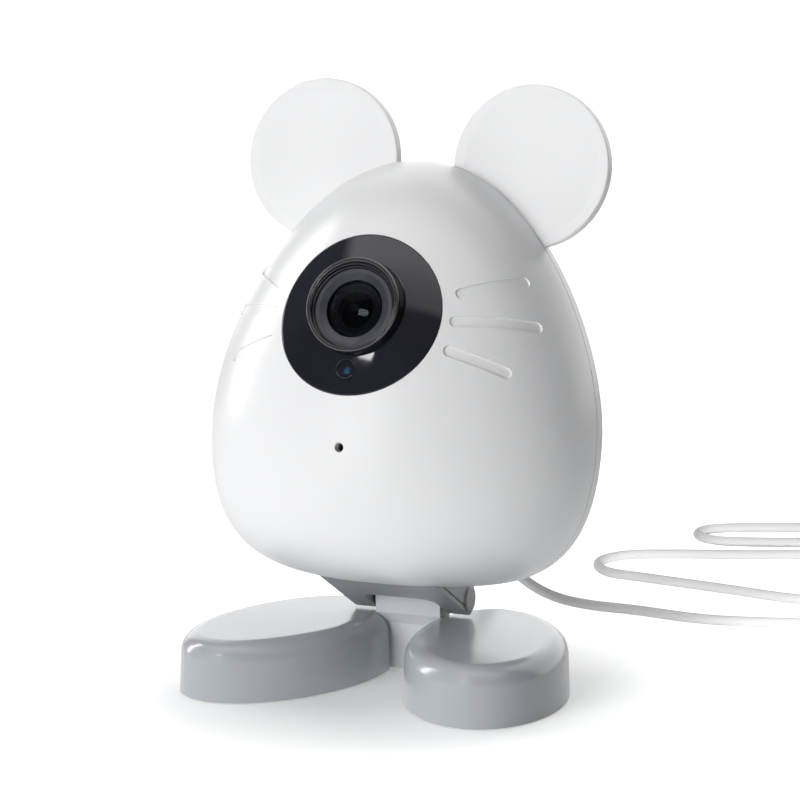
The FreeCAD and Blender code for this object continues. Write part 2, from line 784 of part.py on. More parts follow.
# ---- electronics on the back cover ----
def main_board():
    low, high = body_bottom + board_low, body_bottom + board_high
    board = block((-board_half_width, board_half_width), (board_front_y, board_back_y), (low, high))
    corners = [edge for edge in board.Edges if abs(edge.Vertexes[0].Y - edge.Vertexes[1].Y) > board_thickness / 2]
    board = board.makeFillet(board_corner, corners)
    holes = [
        rod(board_screw[0] + seat_gap, V(x, board_front_y - 1, z), V(x, board_back_y + 1, z)) for x, z in board_bosses()
    ]
    return board.cut(Part.makeCompound(holes))


def board_screws():
    return [screw(board_screw, V(x, board_front_y, z), Y_AXIS) for x, z in board_bosses()]


def shield_can():
    x, z, depth = shield_size
    middle = body_bottom + shield_height
    outer = block((-x / 2, x / 2), (board_front_y - depth, board_front_y), (middle - z / 2, middle + z / 2))
    rim = 0.3
    inner = block(
        (-x / 2 + rim, x / 2 - rim), (board_front_y - depth + rim, board_front_y), (middle - z / 2 + rim, middle + z / 2 - rim)
    )
    return outer.cut(inner)


def usb_socket():
    """Upright socket whose metal mouth reaches the port in the cover."""
    half_width, half_height = usb_socket_size[0] / 2, usb_socket_size[1] / 2
    body = block((-half_width, half_width), (board_back_y, board_back_y + usb_reach), (usb_z - half_height, usb_z + half_height))
    tongue_x, tongue_z = tongue_size[0] / 2 + run_gap, tongue_size[1] / 2 + run_gap
    mouth = block((-tongue_x, tongue_x), (board_back_y + 0.6, rear_y), (usb_z - tongue_z, usb_z + tongue_z))
    return body.cut(mouth)


def reset_switch():
    x, z, depth = switch_size
    return block(
        (reset_x - x / 2, reset_x + x / 2), (board_back_y, board_back_y + depth), (reset_z - z / 2, reset_z + z / 2)
    )


def reset_button():
    """Round button, kept in by a flange behind the cover's wall."""
    back = V(reset_x, inner_rear_y - seat_gap, reset_z)
    flange_front = back - V(0, reset_flange, 0)
    cap = rod(reset_radius, back, V(reset_x, rear_y + reset_proud, reset_z))
    tip = [edge for edge in cap.Edges if len(edge.Vertexes) == 1 and edge.CenterOfMass.y > rear_y]
    cap = cap.makeFillet(reset_proud * 0.6, tip)
    return fuse(cap, [rod(reset_radius + 0.7, flange_front, back)])


def antenna():
    x, z = antenna_place
    width, height, thickness = antenna_size
    return block(
        (x - width / 2, x + width / 2),
        (inner_rear_y - thickness, inner_rear_y),
        (body_bottom + z - height / 2, body_bottom + z + height / 2),
    )


def camera_ribbon():
    """Flat cable from the back of the sensor board to the front of the main board."""
    half_width, thickness = ribbon_size[0] / 2, ribbon_size[1]
    straight, rise = ribbon_bend
    back = on_axis(-sensor_board_depth - board_thickness - seat_gap)
    marker = aim(Part.Vertex(back + V(0, -sensor_board_side / 4, 0))).Point
    end_z = body_bottom + shield_height + shield_size[1] / 2 + ribbon_margin
    bends = [
        (marker.y, marker.z), (marker.y + straight, marker.z + rise), (board_front_y - straight, end_z + rise), (board_front_y, end_z)
    ]
    lower = [V(-half_width, y, z) for y, z in bends]
    upper = [V(-half_width, y, z + thickness) for y, z in reversed(bends)]
    return prism(lower + upper, V(2 * half_width, 0, 0))


def speaker_gasket():
    return ring(speaker_radius, speaker_radius - 2.2, V(0, inner_rear_y - gasket_thickness, speaker_z), V(0, inner_rear_y, speaker_z))


def speaker():
    back = inner_rear_y - gasket_thickness
    basket = rod(speaker_radius, V(0, back - speaker_depth, speaker_z), V(0, back, speaker_z))
    magnet = rod(magnet_radius, V(0, back - speaker_depth - magnet_depth, speaker_z), V(0, back - speaker_depth, speaker_z))
    dish = Part.makeCone(magnet_radius * 0.5, speaker_radius - 2.2, speaker_depth * 0.6, V(0, back - speaker_depth * 0.6, speaker_z), Y_AXIS)
    return basket.fuse(magnet).cut(dish)


# ---- hinge ----
def bracket_profile():
    """Side view of the bracket, and the slanted underside's two ends; it stops where it leaves the hinge barrel."""
    front = V(0, -slant_front[0], body_bottom + slant_front[1])
    angle = math.atan2(front.z, front.y) + math.acos(slant_depth / front.Length)
    nearest = V(0, math.cos(angle), math.sin(angle)) * slant_depth
    along = (nearest - front).normalize()
    end = nearest + along * math.sqrt(hinge_barrel_radius**2 - slant_depth**2)
    buried = front - along * wall * 3
    top = body_bottom + gusset_height
    return [buried, end, V(0, hinge_barrel_radius, 0), V(0, rear_y, top), V(0, buried.y, top)], buried, end


def hinge_bracket():
    x = bracket_half_width
    corners, buried, end = bracket_profile()
    along = (end - buried).normalize()
    inward = V(0, -along.z, along.y)
    start = V(-x, 0, 0)
    wedge = prism([start + corner for corner in corners], V(2 * x, 0, 0))
    barrel = rod(hinge_barrel_radius, V(-x, 0, 0), V(x, 0, 0))
    bracket = wedge.fuse(barrel).cut(head_volume())
    notch = block((-notch_half_width, notch_half_width), (-notch_front, far), (-far, far))
    upright = [
        edge for edge in notch.Edges
        if abs(edge.Vertexes[0].Z - edge.Vertexes[1].Z) > far and abs(edge.Vertexes[0].Y + notch_front) < 1e-6
    ]
    cuts = [notch.makeFillet(notch_rounding, upright)]
    cuts.append(rod(pin_radius + run_gap, V(-x + pin_end_inset, 0, 0), V(x - pin_end_inset, 0, 0)))
    for seat in bracket_screw_seats():
        cuts.append(rod(bracket_screw[0] + run_gap, seat - V(0, 0, bracket_screw[3] + seat_gap), seat))
    beyond = end + along * hinge_barrel_radius
    under = [buried, beyond, beyond - inward * hinge_barrel_radius, buried - inward * hinge_barrel_radius]
    cuts.append(prism([start + point for point in under], V(2 * x, 0, 0)))
    offset, width = cheek_groove
    band = [point + inward * rise for point, rise in ((buried, offset), (end, offset), (end, offset + width), (buried, offset + width))]
    for low, high in ((-x, -x + width), (x - width, x)):
        cuts.append(prism([V(low, 0, 0) + point for point in band], V(high - low, 0, 0)))
    pieces = bracket.cut(Part.makeCompound(cuts)).Solids
    return max(pieces, key=lambda solid: solid.Volume)


def bracket_screw_seats():
    """Spot faces inside the cover's floor."""
    place_x, ahead = bracket_screw_place
    return [V(side * place_x, -ahead, body_bottom + bracket_screw_seat) for side in (1, -1)]


def bracket_screws():
    return [screw(bracket_screw, seat, V(0, 0, -1)) for seat in bracket_screw_seats()]


def hinge_pin():
    x = bracket_half_width - pin_end_inset - seat_gap
    return rod(pin_radius, V(-x, 0, 0), V(x, 0, 0))


def friction_washers():
    start, end = knuckle_half_width + run_gap, notch_half_width - run_gap
    washer = ring(washer_radius, pin_radius + run_gap, V(start, 0, 0), V(end, 0, 0))
    return both_sides(washer)


def pin_caps():
    x = bracket_half_width
    cap = rod(cap_radius, V(x, 0, 0), V(x + cap_proud, 0, 0))
    rim = [edge for edge in cap.Edges if len(edge.Vertexes) == 1 and edge.CenterOfMass.x > x + cap_proud / 2]
    return both_sides(cap.makeFillet(cap_proud * 0.8, rim))


# ---- stand ----
def foot_frame(shape):
    """Put a shape drawn with the foot's long axis along Y under the right-hand side of the head."""
    shape = shape.copy()
    shape.rotate(ORIGIN, Z_AXIS, foot_splay)
    shape.translate(V(foot_spread, 0, 0))
    return shape


def oval(inset, z):
    """Foot outline as a wire at a height."""
    ellipse = Part.Ellipse(V(0, foot_half_length - inset, z), V(foot_half_width - inset, 0, z), V(0, 0, z))
    return Part.Wire(ellipse.toShape())


def oval_block(inset_low, low, inset_high, high):
    """Oval solid between two heights, with its own inset at each."""
    return Part.makeLoft([oval(inset_low, low), oval(inset_high, high)], True, True)


def bridge_section(gap):
    """Box of the bridge between the feet, grown by a gap on its faces."""
    return block(
        (-bridge_half_width - gap, bridge_half_width + gap),
        (bridge_front - gap, bridge_back + gap),
        (floor_gap - far * (gap > 0), bridge_top + gap),
    )


def post_room():
    """Space that the feet leave for the post."""
    x = knuckle_half_width + seat_gap
    return block((-x, x), (post_front - seat_gap, bridge_back + seat_gap), (floor_gap, foot_height + 1))


def inner_inset(z):
    """Inset of the foot's inner wall at a height: it leans with the outer one."""
    return wall + foot_draft * (z - floor_gap) / (foot_height - floor_gap)


def plate_bosses():
    return [V(0, side * plate_boss_offset, 0) for side in (1, -1)]


def foot_shell():
    """Right-hand foot: a rounded oval shell, open below for its base plate."""
    body = oval_block(0, floor_gap, foot_draft, foot_height)
    top = [edge for edge in body.Edges if all(abs(v.Z - foot_height) < 1e-6 for v in edge.Vertexes)]
    body = body.makeFillet(foot_rounding, top)
    ceiling = foot_height - wall
    inner = oval_block(inner_inset(floor_gap - 1), floor_gap - 1, inner_inset(ceiling), ceiling)
    ceiling_edges = [edge for edge in inner.Edges if all(abs(v.Z - ceiling) < 1e-6 for v in edge.Vertexes)]
    inner = inner.makeFillet(foot_rounding / 2, ceiling_edges)
    shell = body.cut(inner)
    plate_top = floor_gap + plate_recess + plate_thickness
    posts = [rod(plate_boss_radius, p + V(0, 0, plate_top), p + V(0, 0, ceiling + wall / 2)) for p in plate_bosses()]
    shell = fuse(shell, [post.common(body) for post in posts])
    pilots = [rod(plate_pilot_radius, p + V(0, 0, plate_top - 1), p + V(0, 0, ceiling - 0.5)) for p in plate_bosses()]
    shell = foot_frame(shell.cut(Part.makeCompound(pilots)))
    shell = shell.cut(bridge_section(seat_gap)).cut(post_room())
    return max(shell.Solids, key=lambda solid: solid.Volume)


def keyhole(low, high):
    """Opening that passes over a screw's head and then grips its shank, narrow end to the front."""
    head = rod(key_head_radius, V(0, key_slot_length / 2, low), V(0, key_slot_length / 2, high))
    tip = V(0, key_slot_length / 2 - key_slot_length - key_slot_radius, 0)
    slot = block((-key_slot_radius, key_slot_radius), (tip.y, key_slot_length / 2), (low, high))
    end = rod(key_slot_radius, tip + V(0, 0, low), tip + V(0, 0, high))
    return fuse(head, [slot, end])


def base_plate():
    low = floor_gap + plate_recess
    high = low + plate_thickness
    plate = oval_block(inner_inset(low) + seat_gap, low, inner_inset(high) + seat_gap, high)
    cuts = [keyhole(low - 1, high + 1)]
    for place in plate_bosses():
        cuts.append(rod(plate_screw[0] + seat_gap, place + V(0, 0, low - 1), place + V(0, 0, high + 1)))
        cuts.append(rod(plate_screw[1] + seat_gap, place + V(0, 0, low - 1), place + V(0, 0, low + plate_screw[2])))
    plate = foot_frame(plate.cut(Part.makeCompound(cuts))).cut(bridge_section(2 * seat_gap))
    return max(plate.Solids, key=lambda solid: solid.Volume)


def plate_screws():
    seat_z = floor_gap + plate_recess + plate_screw[2]
    return [foot_frame(screw(plate_screw, p + V(0, 0, seat_z), Z_AXIS)) for p in plate_bosses()]


def foot_weight():
    low = floor_gap + plate_recess + plate_thickness
    flat = Part.Ellipse(V(0, weight_half_length, low), V(weight_half_width, 0, low), V(0, 0, low))
    slab = Part.Face(Part.Wire(flat.toShape())).extrude(V(0, 0, weight_thickness))
    room = rod(weight_clear_radius, V(0, 0, low - 1), V(0, 0, low + weight_thickness + 1))
    return foot_frame(slab.cut(room)).cut(bridge_section(2 * seat_gap))


def foot_pads():
    top = floor_gap + plate_recess
    pads = []
    for x, y in ((-0.55, 0), (0.55, 0), (0, -1)):
        place = V(x * pad_offset, y * pad_offset, 0)
        pads.append(foot_frame(rod(pad_radius, place, place + V(0, 0, top))))
    return pads


def stand_bridge():
    """Web between the feet, with the post and knuckle that carry the hinge pin."""
    web = bridge_section(0)
    axis_y, axis_z = hinge_y, hinge_z
    x = knuckle_half_width
    profile = [
        (bridge_front, bridge_top - 2), (bridge_front, bridge_top), (post_front, foot_height),
        (axis_y - knuckle_radius, axis_z), (axis_y + knuckle_radius, axis_z),
        (axis_y + knuckle_radius, foot_height), (bridge_back - 1.5, bridge_top), (bridge_back - 1.5, bridge_top - 2),
    ]
    post = prism([V(-x, y, z) for y, z in profile], V(2 * x, 0, 0))
    knuckle = rod(knuckle_radius, V(-x, axis_y, axis_z), V(x, axis_y, axis_z))
    bridge = fuse(web, [post, knuckle])
    return bridge.cut(rod(pin_radius + run_gap, V(-x - 1, axis_y, axis_z), V(x + 1, axis_y, axis_z)))


# ---- power plug and cord ----
def plug_front():
    return rear_y + 0.2


def power_plug():
    """Moulded grip of the plug, square on the port."""
    x, z = plug_half_width, plug_half_height
    start = plug_front()
    grip = block((-x, x), (start, start + plug_length), (usb_z - z, usb_z + z))
    long_edges = [edge for edge in grip.Edges if abs(edge.Vertexes[0].Y - edge.Vertexes[1].Y) > plug_length / 2]
    grip = grip.makeFillet(plug_rounding, long_edges)
    nose = port_nose(start)
    return grip.fuse(nose)


def port_nose(start):
    """Step of the grip that enters the port."""
    half_width, half_height = tongue_size[0] / 2 + 0.6, tongue_size[1] / 2 + 0.6
    return block((-half_width, half_width), (start - 0.6, start + 1), (usb_z - half_height, usb_z + half_height))


def plug_tongue():
    x, z = tongue_size[0] / 2, tongue_size[1] / 2
    end = plug_front() - 0.6
    return block((-x, x), (board_back_y + 0.6 + seat_gap, end), (usb_z - z, usb_z + z))


def relief_end():
    """Where the cord leaves the strain relief, upright head."""
    return V(0, plug_front() + plug_length + relief_length, usb_z)


def strain_relief():
    start = V(0, plug_front() + plug_length, usb_z)
    cone = Part.makeCone(relief_radii[0], relief_radii[1], relief_length, start, Y_AXIS)
    grooves = []
    for step in range(3):
        y = start.y + relief_length * (0.25 + 0.22 * step)
        grooves.append(ring(relief_radii[0] + 1, relief_radii[1] + 0.35 - 0.12 * step, V(0, y, usb_z), V(0, y + 0.8, usb_z)))
    return cone.cut(Part.makeCompound(grooves))


def cord_path(points, name):
    """Straight runs joined by tangent arcs, each as large as its two runs allow."""
    edges = []
    here = points[0]
    radii = []
    for before, corner, after in zip(points, points[1:], points[2:]):
        arrive, leave = corner - before, after - corner
        half_turn = arrive.getAngle(leave) / 2
        trim = 0.45 * min(arrive.Length, leave.Length)
        radii.append(trim / math.tan(half_turn))
        arrive.normalize()
        leave.normalize()
        start, end = corner - arrive * trim, corner + leave * trim
        bulge = (leave - arrive).normalize()
        depth = radii[-1] / math.cos(half_turn) - radii[-1]
        edges.append(Part.LineSegment(here, start).toShape())
        edges.append(Part.Arc(start, corner + bulge * depth, end).toShape())
        here = end
    edges.append(Part.LineSegment(here, points[-1]).toShape())
    path = Part.Wire(edges)
    print(f"{name}: length {path.Length:.1f}, radii", " ".join(f"{radius:.1f}" for radius in radii))
    return path


def cord_tube(points, name):
    path = cord_path(points, name)
    profile = Part.Wire(Part.makeCircle(cord_radius, points[0], points[1] - points[0]))
    tube = path.makePipeShell([profile], True, True)
    expected = math.pi * cord_radius**2 * path.Length
    print(f"{name}: volume {tube.Volume:.1f}, section times length {expected:.1f}")
    return tube


def coil_limits():
    """Inner radius, outer radius, low and high of the coil."""
    half = coil_columns * cord_radius
    return coil_middle_radius - half, coil_middle_radius + half, tie_thickness, tie_thickness + coil_layers * cord_diameter


def coil_point(angle, layer):
    """Middle of the outermost turn of a layer, counted from 0."""
    radius = coil_middle_radius + (coil_columns - 1) * cord_radius
    turn = math.radians(angle)
    height = tie_thickness + cord_radius + layer * cord_diameter
    return V(coil_x + radius * math.cos(turn), coil_y + radius * math.sin(turn), height)


def cord_coil():
    inner, outer, low, high = coil_limits()
    return ring(outer, inner, V(coil_x, coil_y, low), V(coil_x, coil_y, high))


def cord_tie():
    """Strap round the coil's section."""
    inner, outer, _, high = coil_limits()
    x = (coil_x - tie_width / 2, coil_x + tie_width / 2)
    strap = block(x, (coil_y + inner - tie_thickness, coil_y + outer + tie_thickness), (0, high + tie_thickness))
    room = block((x[0] - 1, x[1] + 1), (coil_y + inner, coil_y + outer), (tie_thickness, high))
    return strap.cut(room).cut(cord_coil())


def power_cord():
    start = on_head(Part.Vertex(relief_end())).Point
    points = [start] + [V(*point) for point in route] + [coil_point(coil_entry, 0)]
    return cord_tube(points, "power_cord")


def cord_tail():
    end = V(second_plug_x, second_plug_y, second_plug_half_height)
    points = [coil_point(coil_exit, coil_layers - 1)] + [V(*point) for point in tail] + [end]
    return cord_tube(points, "cord_tail")


def second_plug():
    x, z = second_plug_half_width, second_plug_half_height
    low = second_plug_y - second_plug_length
    grip = block((second_plug_x - x, second_plug_x + x), (low, second_plug_y), (0, 2 * z))
    long_edges = [edge for edge in grip.Edges if abs(edge.Vertexes[0].Y - edge.Vertexes[1].Y) > second_plug_length / 2]
    return grip.makeFillet(z / 3, long_edges)


def second_plug_shell():
    x, z = second_shell_size[0] / 2, second_shell_size[1] / 2
    high = second_plug_y - second_plug_length
    low = high - second_shell_length
    middle = second_plug_half_height
    shell = block((second_plug_x - x, second_plug_x + x), (low, high), (middle - z, middle + z))
    rim = 0.3
    room = block((second_plug_x - x + rim, second_plug_x + x - rim), (low - 1, high - 1), (middle - z + rim, middle + z - rim))
    tongue = block((second_plug_x - x + rim, second_plug_x + x - rim), (low + 0.5, high), (middle - 0.2, middle + z - rim))
    return shell.cut(room).fuse(tongue)


def build():
    os.makedirs("parts", exist_ok=True)
    save_head("front_shell", front_shell())
    save_head("back_cover", back_cover())
    save_head("case_screws", *case_screws())
    save_head("lens_bezel", lens_bezel())
    save_head("sensor_window", sensor_window())
    save_lens("lens_barrel", lens_barrel())
    save_lens("front_glass", front_glass())
    elements, spacers = optic_stack()
    save_lens("lens_elements", *elements)
    save_lens("lens_spacers", *spacers)
    save_lens("lens_holder", lens_holder())
    save_lens("ir_cut_filter", ir_cut_filter())
    save_lens("image_sensor", image_sensor())
    save_lens("sensor_board", sensor_board())
    save_lens("sensor_board_screws", *sensor_screws())
    save_lens("lamp_board", lamp_board())
    save_lens("infrared_lamps", *lamps())
    save_lens("light_sensor", light_sensor())
    save_head("mic_boot", mic_boot())
    save_head("microphone", microphone())
    save_head("main_board", main_board())
    save_head("main_board_screws", *board_screws())
    save_head("shield_can", shield_can())
    save_head("power_socket", usb_socket())
    save_head("reset_switch", reset_switch())
    save_head("reset_button", reset_button())
    save_head("antenna", antenna())
    save_head("camera_ribbon", camera_ribbon())
    save_head("speaker_gasket", speaker_gasket())
    save_head("speaker", speaker())
    save_head("hinge_bracket", hinge_bracket())
    save_head("bracket_screws", *bracket_screws())
    save_head("hinge_pin", hinge_pin())
    save_head("friction_washers", *friction_washers())
    save_head("pin_caps", *pin_caps())
    for name, index in (("right", 0), ("left", 1)):
        save(f"{name}_foot", both_sides(foot_shell())[index])
        save(f"{name}_base_plate", both_sides(base_plate())[index])
        save(f"{name}_foot_weight", both_sides(foot_weight())[index])
    save("base_plate_screws", *[copy for one in plate_screws() for copy in both_sides(one)])
    save("foot_pads", *[copy for one in foot_pads() for copy in both_sides(one)])
    save("stand_bridge", stand_bridge())
    save_head("power_plug", power_plug())
    save_head("plug_tongue", plug_tongue())
    save_head("strain_relief", strain_relief())
    save("power_cord", power_cord())
    save("cord_coil", cord_coil())
    save("cord_tie", cord_tie())
    save("cord_tail", cord_tail())
    save("second_plug", second_plug())
    save("second_plug_shell", second_plug_shell())


build()
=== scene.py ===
"""Looks for a mouse-shaped pet camera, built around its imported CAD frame.

Metres, +Z up, and the lens looks along -Y.
"""
import json
import math

import bmesh
import bpy
from mathutils import Matrix, Vector


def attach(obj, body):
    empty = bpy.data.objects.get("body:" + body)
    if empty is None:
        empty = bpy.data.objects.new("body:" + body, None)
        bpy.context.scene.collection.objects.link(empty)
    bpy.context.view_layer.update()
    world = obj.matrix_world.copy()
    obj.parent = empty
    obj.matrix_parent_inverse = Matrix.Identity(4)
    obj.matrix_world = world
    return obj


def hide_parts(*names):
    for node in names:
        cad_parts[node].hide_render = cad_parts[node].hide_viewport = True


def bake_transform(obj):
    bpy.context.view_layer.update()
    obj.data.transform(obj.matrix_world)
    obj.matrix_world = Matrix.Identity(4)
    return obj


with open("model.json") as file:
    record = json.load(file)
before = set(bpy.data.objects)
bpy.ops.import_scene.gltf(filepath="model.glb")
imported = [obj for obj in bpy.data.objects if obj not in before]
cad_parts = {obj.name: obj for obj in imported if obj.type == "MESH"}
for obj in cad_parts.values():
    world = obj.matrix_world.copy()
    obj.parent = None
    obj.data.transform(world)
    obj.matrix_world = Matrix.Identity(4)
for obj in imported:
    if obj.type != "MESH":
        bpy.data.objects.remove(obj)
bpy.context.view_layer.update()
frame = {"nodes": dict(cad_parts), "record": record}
nodes = frame["nodes"]

MM = 0.001


def facing(place, aim):
    """Rotation of a camera, lamp or card that stands at a place and looks at an aim."""
    return (Vector(aim) - Vector(place)).to_track_quat("-Z", "Y").to_euler()


# ---- camera ----
CAMERA_PLACE = (0.27497, -0.66454, 0.18293)
CAMERA_AIM = (0.01075, -0.01864, 0.06634)
CAMERA_LENS = 152.9  # focal length over a sensor of this width, both in millimetres
SENSOR_WIDTH = 36.0
CLIP_START, CLIP_END = 0.01, 20


def add_camera():
    data = bpy.data.cameras.new("view_camera")
    data.lens = CAMERA_LENS
    data.sensor_width = SENSOR_WIDTH
    data.clip_start, data.clip_end = CLIP_START, CLIP_END
    camera = bpy.data.objects.new("view_camera", data)
    bpy.context.scene.collection.objects.link(camera)
    camera.location = CAMERA_PLACE
    camera.rotation_euler = facing(CAMERA_PLACE, CAMERA_AIM)
    bpy.context.scene.camera = camera


add_camera()


# ---- power cord: the route's points, then the coil's turns and the tail, in millimetres ----
CORD_DIAMETER = 2.5 * MM
LAY = 1.27  # height of the cord's middle where it lies on the floor
ROUTE = [
    (0.0, 42.100, 28.433),
    (0.0, 53.92, 26.35), (1.0, 64.5, 19.0), (3.2, 73.0, 9.6), (8.5, 80.5, 3.6), (16.5, 84.2, LAY),
    (29.0, 84.0, LAY), (48.0, 79.5, LAY), (70.0, 85.5, LAY), (92.0, 89.5, LAY), (112.0, 91.0, LAY),
    (127.0, 101.0, LAY), (128.0, 117.0, LAY), (114.0, 126.0, LAY), (96.0, 121.0, LAY),
    (80.0, 111.0, LAY), (62.0, 108.5, LAY), (43.0, 113.5, LAY), (29.5, 116.2, LAY),
    (18.5, 118.6, LAY), (8.9, 120.2, LAY), (2.6, 130.8, LAY), (6.4, 142.5, LAY), (19.0, 148.0, LAY),
    (33.0, 152.8, LAY), (48.0, 159.5, LAY), (65.0, 164.5, LAY), (82.0, 163.5, LAY), (97.0, 168.5, LAY),
    (104.0, 181.0, LAY), (98.0, 194.0, LAY), (84.0, 198.5, LAY), (71.0, 190.0, LAY), (58.0, 180.0, LAY),
    (43.0, 173.5, LAY), (32.0, 169.2, LAY), (22.5, 167.2, LAY), (15.8, 172.8, LAY), (16.4, 181.5, LAY),
    (25.9, 187.4, LAY), (40.0, 192.5, LAY), (56.0, 200.5, LAY), (73.5, 209.8, LAY),
]
TAIL = [
    (99.5, 244.5, 7.8), (107.0, 254.0, 5.6), (118.3, 254.8, 4.3), (126.0, 245.2, 4.0), (126.0, 234.0, 4.0),
]
COIL_MIDDLE = (82.0, 233.0)
COIL_RADIUS = 14.9
COIL_COLUMNS = 3
COIL_LIFT = 0.6  # the tie's thickness under the lowest turn
COIL_BASE = COIL_LIFT + CORD_DIAMETER / MM / 2  # height of the middle of the lowest turn's cord
COIL_START = -60.0  # degrees
COIL_SWEEP = 60.0 + 11 * 360.0
COIL_STEPS = 180
CROSSING = 1 / 6  # last share of each turn, where the cord steps to the next place
CURVE_STEPS = 8
TUBE_STEPS = 5


def coil_seat(turn):
    """Radius and height of a whole turn: columns go in and out, layer by layer."""
    layer, place = divmod(turn, COIL_COLUMNS)
    column = place if layer % 2 == 0 else COIL_COLUMNS - 1 - place
    pitch = CORD_DIAMETER / MM
    return COIL_RADIUS + ((COIL_COLUMNS - 1) / 2 - column) * pitch, COIL_BASE + layer * pitch


def coil_turns():
    points = []
    for step in range(COIL_STEPS + 1):
        swept = COIL_SWEEP * step / COIL_STEPS
        turn, share = divmod(swept / 360, 1)
        ease = max(0.0, (share - 1 + CROSSING) / CROSSING)
        ease = ease * ease * (3 - 2 * ease)  # a smooth step
        radius, height = coil_seat(int(turn))
        next_radius, next_height = coil_seat(int(turn) + 1)
        radius += (next_radius - radius) * ease
        height += (next_height - height) * ease
        angle = math.radians(COIL_START + swept)
        across, along = radius * math.cos(angle), radius * math.sin(angle)
        points.append((COIL_MIDDLE[0] + across, COIL_MIDDLE[1] + along, height))
    return points


def nurbs_curve(name, points, bevel):
    """Open quadratic NURBS curve with these control points, in millimetres."""
    data = bpy.data.curves.new(name, "CURVE")
    data.dimensions = "3D"
    spline = data.splines.new("NURBS")
    spline.points.add(len(points) - 1)
    for point, place in zip(spline.points, points):
        point.co = (*(Vector(place) * MM), 1)
    spline.order_u = 3
    spline.use_endpoint_u = True
    spline.resolution_u = CURVE_STEPS
    data.bevel_depth = bevel
    data.bevel_resolution = TUBE_STEPS
    data.use_fill_caps = True
    return data


def mesh_of(data, name):
    """Mesh of a curve, and the curve itself removed."""
    maker = bpy.data.objects.new(name + "_maker", data)
    bpy.context.scene.collection.objects.link(maker)
    bpy.context.view_layer.update()
    graph = bpy.context.evaluated_depsgraph_get()
    mesh = bpy.data.meshes.new_from_object(maker.evaluated_get(graph))
    bpy.data.objects.remove(maker)
    bpy.data.curves.remove(data)
    mesh.name = name
    return mesh


def link(name, mesh, material=None, smooth=True):
    piece = bpy.data.objects.new(name, mesh)
    bpy.context.scene.collection.objects.link(piece)
    if material:
        mesh.materials.append(material)
    for polygon in mesh.polygons:
        polygon.use_smooth = smooth
    return piece


def make_cord():
    points = ROUTE + coil_turns() + TAIL
    line = mesh_of(nurbs_curve("cord_line", points, 0), "cord_line")
    bpy.data.meshes.remove(line)
    tube = link("power_lead", mesh_of(nurbs_curve("power_lead", points, CORD_DIAMETER / 2), "power_lead"))
    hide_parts("power_cord", "cord_coil", "cord_tail")
    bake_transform(tube)


# ---- lens collar ----
LENS_FACE = Vector((0, -17.98, 85.03)) * MM  # middle of the barrel's front face
LENS_TURN = math.radians(66.4)  # from +Z to the optical axis, about X
COLLAR_LIFT = 0.5 * MM  # middle of the collar's lip above the optical axis
# wall, lip and inner steps of the collar, as radius and height above the barrel's face, in millimetres
COLLAR_WALL = [(11.1, -3.3), (10.6, -2.75), (10.42, -2.2), (10.38, -1.2), (10.37, 0.5)]
COLLAR_LIP = [
    (10.37, 0.5), (10.35, 0.85), (10.27, 1.12), (10.14, 1.32), (10.04, 1.36), (9.94, 1.32),
    (9.84, 1.16), (9.76, 1.14), (9.68, 1.18), (9.6, 1.34), (9.52, 1.38), (9.43, 1.33), (9.3, 1.12),
    (9.2, 0.9),
]
COLLAR_STEPS = [
    (9.42, 0.9), (9.4, 1.06), (9.33, 1.14), (9.25, 1.12), (9.18, 1.0), (9.14, 0.5), (9.02, 0.3), (8.98, 0.58),
    (8.9, 0.66), (8.8, 0.58), (8.7, 0.3), (8.58, -0.1),
]
LENS_FRAME = Matrix.Translation(LENS_FACE) @ Matrix.Rotation(LENS_TURN, 4, "X")
COLLAR_SEGMENTS = 96
SMOOTH_LEVELS = 2


def spin_round(bm, segments):
    """Spin what is drawn so far round +Z into a closed ring."""
    bmesh.ops.spin(
        bm, geom=bm.verts[:] + bm.edges[:], cent=(0, 0, 0), axis=(0, 0, 1), angle=2 * math.pi, steps=segments,
        use_merge=True,
    )
    bmesh.ops.recalc_face_normals(bm, faces=bm.faces)


def finished(bm, name, material):
    """Piece with the bmesh's shape, and the bmesh itself freed."""
    mesh = bpy.data.meshes.new(name)
    bm.to_mesh(mesh)
    bm.free()
    return link(name, mesh, material)


def spun(name, profile, lift, material):
    """Ring from a profile of radius and height in millimetres, round the optical axis or above it."""
    bm = bmesh.new()
    points = [bm.verts.new(Vector((radius, 0, height)) * MM) for radius, height in profile]
    for pair in zip(points, points[1:]):
        bm.edges.new(pair)
    spin_round(bm, COLLAR_SEGMENTS)
    bmesh.ops.translate(bm, verts=bm.verts, vec=(0, lift, 0))
    bmesh.ops.transform(bm, verts=bm.verts, matrix=LENS_FRAME)
    return finished(bm, name, material)


def make_collar(made):
    for name, profile, lift, slot, finish in (
        ("collar_wall", COLLAR_WALL, COLLAR_LIFT, "bezel_black", "bezel_black"),
        ("collar_lip", COLLAR_LIP, COLLAR_LIFT, "barrel_black", "collar_black"),
        ("collar_steps", COLLAR_STEPS, 0.0, "barrel_black", "collar_black"),
    ):
        ring = spun(name, profile, lift, made[finish])
        smooth = ring.modifiers.new("smooth", "SUBSURF")
        smooth.levels = smooth.render_levels = SMOOTH_LEVELS
        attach(ring, "head")


# ---- glass stands a hair free of its seats, so that no faces coincide ----
GLASS_GAP = 0.03 * MM
WELD_REACH = 0.001 * MM


def free_glass():
    for name in ("front_glass", "lens_elements"):
        weld = nodes[name].modifiers.new("weld", "WELD")
        weld.merge_threshold = WELD_REACH
        shrink = nodes[name].modifiers.new("shrink", "DISPLACE")
        shrink.mid_level = 0
        shrink.strength = -GLASS_GAP


# ---- rim of the light sensor's window ----
RIM_WIRE = 0.14 * MM  # radius
RIM_SEGMENTS = 72
WIRE_SEGMENTS = 12
EDGE_SHARE = 0.94  # of the window's radius, from where a point counts as on its edge


